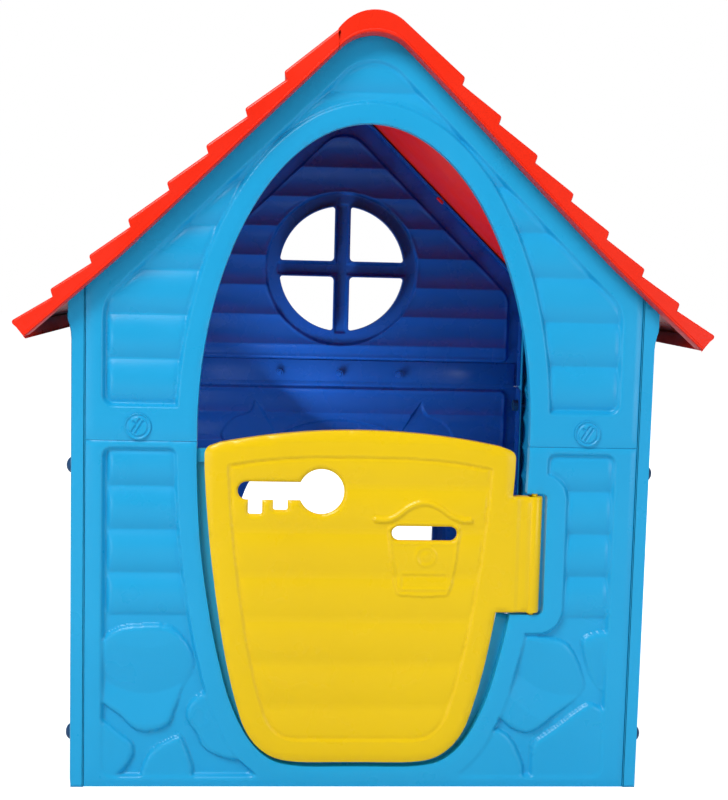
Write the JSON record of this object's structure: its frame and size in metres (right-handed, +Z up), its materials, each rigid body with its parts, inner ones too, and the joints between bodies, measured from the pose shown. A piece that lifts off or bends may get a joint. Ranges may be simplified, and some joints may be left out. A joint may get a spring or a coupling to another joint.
{
  "type": "children's playhouse",
  "caption": "Children's plastic playhouse: panel walls bolted at the corners, tiled gable roof halves, arched doorway and a stable door that swings on moulded pins.",
  "frame": {"origin": "on the ground, at the centre of the playhouse's footprint", "axes": "+Z up to the ridge, +X to the right seen from the front, -Y out of the front with the door"},
  "size_m": [0.94, 0.9, 1.06],
  "materials": {
    "wall_blue": "moulded polyethylene, satin gloss, self-coloured",
    "back_blue": "moulded polyethylene, satin gloss, self-coloured",
    "roof_red": "moulded polyethylene, satin gloss, self-coloured",
    "door_yellow": "moulded polyethylene, satin gloss, self-coloured",
    "bolt_blue": "moulded polyethylene, satin gloss, self-coloured"
  },
  "bodies": {
    "house": {"front_lower_panel": "wall_blue", "front_upper_panel": "wall_blue", "back_lower_panel": "back_blue", "back_upper_panel": "back_blue", "right_wall": "wall_blue", "left_wall": "wall_blue", "roof_right": "roof_red", "roof_left": "roof_red", "bolt_left_front_low": "bolt_blue", "nut_left_front_low": "bolt_blue", "bolt_left_front_high": "bolt_blue", "nut_left_front_high": "bolt_blue", "bolt_left_back_low": "bolt_blue", "nut_left_back_low": "bolt_blue", "bolt_left_back_high": "bolt_blue", "nut_left_back_high": "bolt_blue", "bolt_right_front_low": "bolt_blue", "nut_right_front_low": "bolt_blue", "bolt_right_front_high": "bolt_blue", "nut_right_front_high": "bolt_blue", "bolt_right_back_low": "bolt_blue", "nut_right_back_low": "bolt_blue", "bolt_right_back_high": "bolt_blue", "nut_right_back_high": "bolt_blue", "bolt_front_split_left": "wall_blue", "nut_front_split_left": "wall_blue", "bolt_front_split_right": "wall_blue", "nut_front_split_right": "wall_blue", "bolt_back_split_left": "back_blue", "nut_back_split_left": "back_blue", "bolt_back_split_middle": "back_blue", "nut_back_split_middle": "back_blue", "bolt_back_split_right": "back_blue", "nut_back_split_right": "back_blue", "roof_bolt_left_front": "roof_red", "roof_bolt_left_back": "roof_red", "roof_bolt_right_front": "roof_red", "roof_bolt_right_back": "roof_red"},
    "door": {"door": "door_yellow"}
  },
  "joints": [
    {"name": "door_hinge", "type": "hinge", "parent": "house", "child": "door", "pos_m": [0.238, -0.419, 0.333], "axis": [0, 0, 1], "range_deg": [0, 105]}
  ]
}
